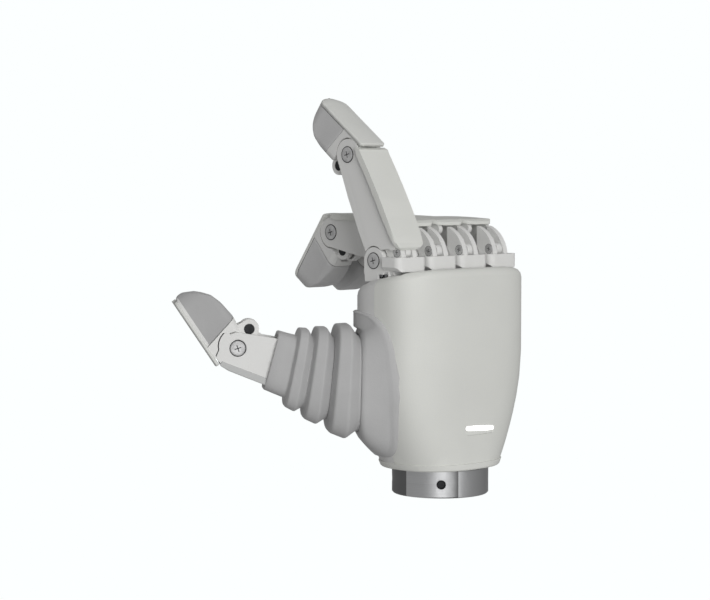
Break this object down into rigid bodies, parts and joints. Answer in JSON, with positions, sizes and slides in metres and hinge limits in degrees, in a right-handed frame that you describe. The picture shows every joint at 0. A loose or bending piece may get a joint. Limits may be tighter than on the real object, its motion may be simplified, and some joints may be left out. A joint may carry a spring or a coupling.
{
  "type": "dexterous robot hand",
  "caption": "Right robot hand with linkage-driven jointed fingers, a booted opposing thumb, a moulded palm housing with a status light, and a round wrist mounting flange.",
  "frame": {"origin": "centre of the wrist flange's mounting face", "axes": "+Z runs from the wrist to the fingers, +Y to the palm side, -Y to the back of the hand, -X to the thumb side"},
  "size_m": [0.1477, 0.1019, 0.1781],
  "materials": {
    "shell": "fine matte moulded plastic, warm light grey",
    "frame": "satin moulded plastic, light grey",
    "soft_rubber": "smooth soft rubber, mid grey",
    "turned_metal": "turned aluminium with fine rings",
    "pin_metal": "brushed steel",
    "dark_metal": "dark anodised aluminium",
    "board": "green circuit board",
    "light": "glowing white light window"
  },
  "bodies": {
    "palm": {"back_shell": "shell", "palm_shell": "shell", "wrist_flange": "turned_metal", "wrist_ring": "shell", "status_light": "light", "chassis": "dark_metal", "spread_pins": "pin_metal", "control_board": "board", "finger_actuators": "pin_metal", "case_screws": "pin_metal", "thumb_socket": "soft_rubber", "thumb_swing_pin": "pin_metal", "middle_knuckle": "frame", "middle_knuckle_pins": "pin_metal", "thumb_boot_base": "soft_rubber"},
    "index_base": {"index_knuckle": "frame", "index_knuckle_pins": "pin_metal"},
    "index_finger": {"index_proximal": "frame", "index_proximal_cover": "shell"},
    "index_rod": {"index_coupler": "frame"},
    "index_tip": {"index_distal": "frame", "index_nail": "shell", "index_pad": "soft_rubber", "index_tip_pins": "pin_metal"},
    "middle_finger": {"middle_proximal": "frame", "middle_proximal_cover": "shell"},
    "middle_rod": {"middle_coupler": "frame"},
    "middle_tip": {"middle_distal": "frame", "middle_nail": "shell", "middle_pad": "soft_rubber", "middle_tip_pins": "pin_metal"},
    "ring_base": {"ring_knuckle": "frame", "ring_knuckle_pins": "pin_metal"},
    "ring_finger": {"ring_proximal": "frame", "ring_proximal_cover": "shell"},
    "ring_rod": {"ring_coupler": "frame"},
    "ring_tip": {"ring_distal": "frame", "ring_nail": "shell", "ring_pad": "soft_rubber", "ring_tip_pins": "pin_metal"},
    "little_base": {"little_knuckle": "frame", "little_knuckle_pins": "pin_metal"},
    "little_finger": {"little_proximal": "frame", "little_proximal_cover": "shell"},
    "little_rod": {"little_coupler": "frame"},
    "little_tip": {"little_distal": "frame", "little_nail": "shell", "little_pad": "soft_rubber", "little_tip_pins": "pin_metal"},
    "thumb_base": {"thumb_yoke": "frame", "thumb_yoke_pins": "pin_metal"},
    "thumb_arm": {"thumb_link": "frame", "thumb_boot_tip": "soft_rubber"},
    "thumb_rod": {"thumb_coupler": "frame"},
    "thumb_end": {"thumb_distal": "frame", "thumb_nail": "shell", "thumb_pad": "soft_rubber", "thumb_tip_pins": "pin_metal"}
  },
  "joints": [
    {"name": "index_spread", "type": "hinge", "parent": "palm", "child": "index_base", "pos_m": [-0.03, 0.0055, 0.0945], "axis": [0, -1, 0], "range_deg": [-1.2, 7]},
    {"name": "index_bend", "type": "hinge", "parent": "index_base", "child": "index_finger", "pos_m": [-0.03, 0.0055, 0.1065], "axis": [-1, 0, 0], "range_deg": [-11.5, 63]},
    {"name": "index_tip_bend", "type": "hinge", "parent": "index_finger", "child": "index_tip", "pos_m": [-0.03, 0.02219, 0.15363], "axis": [-1, 0, 0], "range_deg": [-7.27, 37.14]},
    {"name": "index_rod_turn", "type": "hinge", "parent": "index_base", "child": "index_rod", "pos_m": [-0.03, -0.0065, 0.1105], "axis": [-1, 0, 0], "range_deg": [-10.17, 53.05]},
    {"name": "middle_bend", "type": "hinge", "parent": "palm", "child": "middle_finger", "pos_m": [-0.01, 0.0055, 0.1065], "axis": [-1, 0, 0], "range_deg": [-69, 5.5]},
    {"name": "middle_tip_bend", "type": "hinge", "parent": "middle_finger", "child": "middle_tip", "pos_m": [-0.01, 0.05422, 0.11775], "axis": [-1, 0, 0], "range_deg": [-40.62, 3.79]},
    {"name": "middle_rod_turn", "type": "hinge", "parent": "palm", "child": "middle_rod", "pos_m": [-0.01, -0.0065, 0.1105], "axis": [-1, 0, 0], "range_deg": [-58.04, 5.18]},
    {"name": "ring_spread", "type": "hinge", "parent": "palm", "child": "ring_base", "pos_m": [0.01, 0.0055, 0.0945], "axis": [0, 1, 0], "range_deg": [-1.2, 1]},
    {"name": "ring_bend", "type": "hinge", "parent": "ring_base", "child": "ring_finger", "pos_m": [0.01, 0.0055, 0.1065], "axis": [-1, 0, 0], "range_deg": [-70.5, 4]},
    {"name": "ring_tip_bend", "type": "hinge", "parent": "ring_finger", "child": "ring_tip", "pos_m": [0.01, 0.0545, 0.11647], "axis": [-1, 0, 0], "range_deg": [-41.49, 2.92]},
    {"name": "ring_rod_turn", "type": "hinge", "parent": "ring_base", "child": "ring_rod", "pos_m": [0.01, -0.0065, 0.1105], "axis": [-1, 0, 0], "range_deg": [-59.29, 3.93]},
    {"name": "little_spread", "type": "hinge", "parent": "palm", "child": "little_base", "pos_m": [0.03, 0.0055, 0.0945], "axis": [0, 1, 0], "range_deg": [-0.3, 7]},
    {"name": "little_bend", "type": "hinge", "parent": "little_base", "child": "little_finger", "pos_m": [0.03, 0.0055, 0.1065], "axis": [-1, 0, 0], "range_deg": [-72, 2.5]},
    {"name": "little_tip_bend", "type": "hinge", "parent": "little_finger", "child": "little_tip", "pos_m": [0.03, 0.05474, 0.11518], "axis": [-1, 0, 0], "range_deg": [-42.36, 2.05]},
    {"name": "little_rod_turn", "type": "hinge", "parent": "little_base", "child": "little_rod", "pos_m": [0.03, -0.0065, 0.1105], "axis": [-1, 0, 0], "range_deg": [-60.54, 2.68]},
    {"name": "thumb_swing", "type": "hinge", "parent": "palm", "child": "thumb_base", "pos_m": [-0.033, 0.012, 0.052], "axis": [0, 0, 1], "range_deg": [-25, 20], "deforming": ["thumb_boot_base"]},
    {"name": "thumb_bend", "type": "hinge", "parent": "thumb_base", "child": "thumb_arm", "pos_m": [-0.04578, 0.02163, 0.0525], "axis": [0.6018, 0.7986, 0], "range_deg": [-15, 30], "deforming": ["thumb_boot_tip"]},
    {"name": "thumb_tip_bend", "type": "hinge", "parent": "thumb_arm", "child": "thumb_end", "pos_m": [-0.08086, 0.04806, 0.06806], "axis": [0.6018, 0.7986, 0], "range_deg": [-11.7, 22.8]},
    {"name": "thumb_rod_turn", "type": "hinge", "parent": "thumb_base", "child": "thumb_rod", "pos_m": [-0.04968, 0.02457, 0.04468], "axis": [0.6018, 0.7986, 0], "range_deg": [-14.71, 28.83]}
  ],
  "couplings": [
    {"joint": "index_tip_bend", "follows": "index_bend", "ratio": 0.58},
    {"joint": "index_rod_turn", "follows": "index_bend", "ratio": 0.8325},
    {"joint": "middle_tip_bend", "follows": "middle_bend", "ratio": 0.58},
    {"joint": "middle_rod_turn", "follows": "middle_bend", "ratio": 0.8325},
    {"joint": "ring_tip_bend", "follows": "ring_bend", "ratio": 0.58},
    {"joint": "ring_rod_turn", "follows": "ring_bend", "ratio": 0.8325},
    {"joint": "little_tip_bend", "follows": "little_bend", "ratio": 0.58},
    {"joint": "little_rod_turn", "follows": "little_bend", "ratio": 0.8325},
    {"joint": "thumb_tip_bend", "follows": "thumb_bend", "ratio": 0.74},
    {"joint": "thumb_rod_turn", "follows": "thumb_bend", "ratio": 0.941}
  ]
}
